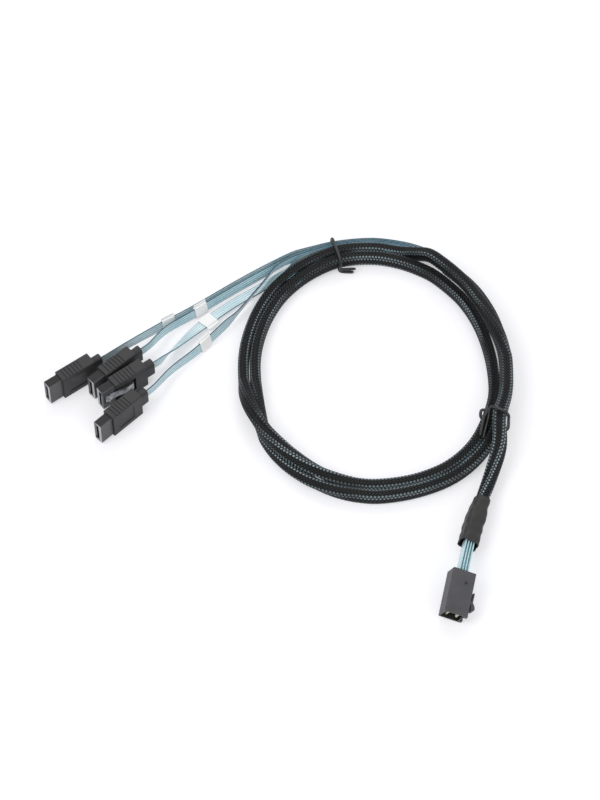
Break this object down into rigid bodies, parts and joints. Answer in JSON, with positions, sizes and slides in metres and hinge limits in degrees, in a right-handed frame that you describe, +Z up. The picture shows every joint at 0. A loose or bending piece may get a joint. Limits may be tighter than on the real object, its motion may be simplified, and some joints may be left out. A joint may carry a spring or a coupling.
{
  "type": "breakout cable",
  "caption": "Coiled and tied breakout cable: a wide storage plug, a braided sleeve, and flat clear ribbon cables that fan out to narrow latching drive plugs.",
  "frame": {"origin": "on the surface the cable lies on, under the middle of its bounding box", "axes": "+Z up from that surface; +X across the coil and +Y along it, with the wide plug at -Y and the narrow plugs at -X"},
  "size_m": [0.2394, 0.2352, 0.0175],
  "materials": {
    "housing": "satin grey",
    "overmould": "satin, moulded",
    "insulator": "satin",
    "steel": "bright, rolled",
    "board": "cut edge of a circuit board",
    "braid": "woven plastic strands",
    "ribbon": "clear, with fine wires in it",
    "shrink": "smooth, slightly wrinkled",
    "tie": "coated wire",
    "label": "white paper"
  },
  "bodies": {
    "cable": {"sff_housing": "housing", "paddle_card_1": "board", "paddle_card_2": "board", "heat_shrink": "shrink", "braided_sleeve": "braid", "lower_tie": "tie", "upper_tie": "tie", "ribbon_1": "ribbon", "ribbon_label_1": "label", "ribbon_2": "ribbon", "ribbon_label_2": "label", "ribbon_3": "ribbon", "ribbon_label_3": "label", "ribbon_4": "ribbon", "ribbon_label_4": "label", "sata_1_receptacle": "insulator", "sata_1_overmould": "overmould", "sata_2_receptacle": "insulator", "sata_2_overmould": "overmould", "sata_3_receptacle": "insulator", "sata_3_overmould": "overmould", "sata_4_receptacle": "insulator", "sata_4_overmould": "overmould"},
    "sff_release_lever": {"sff_release_lever": "housing"},
    "sata_1_latch": {"sata_1_latch": "steel"},
    "sata_2_latch": {"sata_2_latch": "steel"},
    "sata_3_latch": {"sata_3_latch": "steel"},
    "sata_4_latch": {"sata_4_latch": "steel"}
  },
  "joints": [
    {"name": "sff_release_lever_hinge", "type": "hinge", "parent": "cable", "child": "sff_release_lever", "pos_m": [0.09107, -0.10794, 0.006], "axis": [0.31, -0.2249, 0.9238], "range_deg": [0, 6], "stiffness_Nm_per_rad": 0.08},
    {"name": "sata_1_latch_flex", "type": "hinge", "parent": "cable", "child": "sata_1_latch", "pos_m": [-0.1178, 0.01784, 0.00782], "axis": [0, 0, -1], "range_deg": [0, 4.3], "stiffness_Nm_per_rad": 0.05},
    {"name": "sata_2_latch_flex", "type": "hinge", "parent": "cable", "child": "sata_2_latch", "pos_m": [-0.09591, 0.02056, 0.00782], "axis": [0, 0, -1], "range_deg": [0, 4.3], "stiffness_Nm_per_rad": 0.05},
    {"name": "sata_3_latch_flex", "type": "hinge", "parent": "cable", "child": "sata_3_latch", "pos_m": [-0.08797, 0.01072, 0.00782], "axis": [0, 0, 1], "range_deg": [0, 4.3], "stiffness_Nm_per_rad": 0.05},
    {"name": "sata_4_latch_flex", "type": "hinge", "parent": "cable", "child": "sata_4_latch", "pos_m": [-0.09132, -0.00666, 0.00782], "axis": [0, 0, -1], "range_deg": [0, 4.3], "stiffness_Nm_per_rad": 0.05}
  ]
}
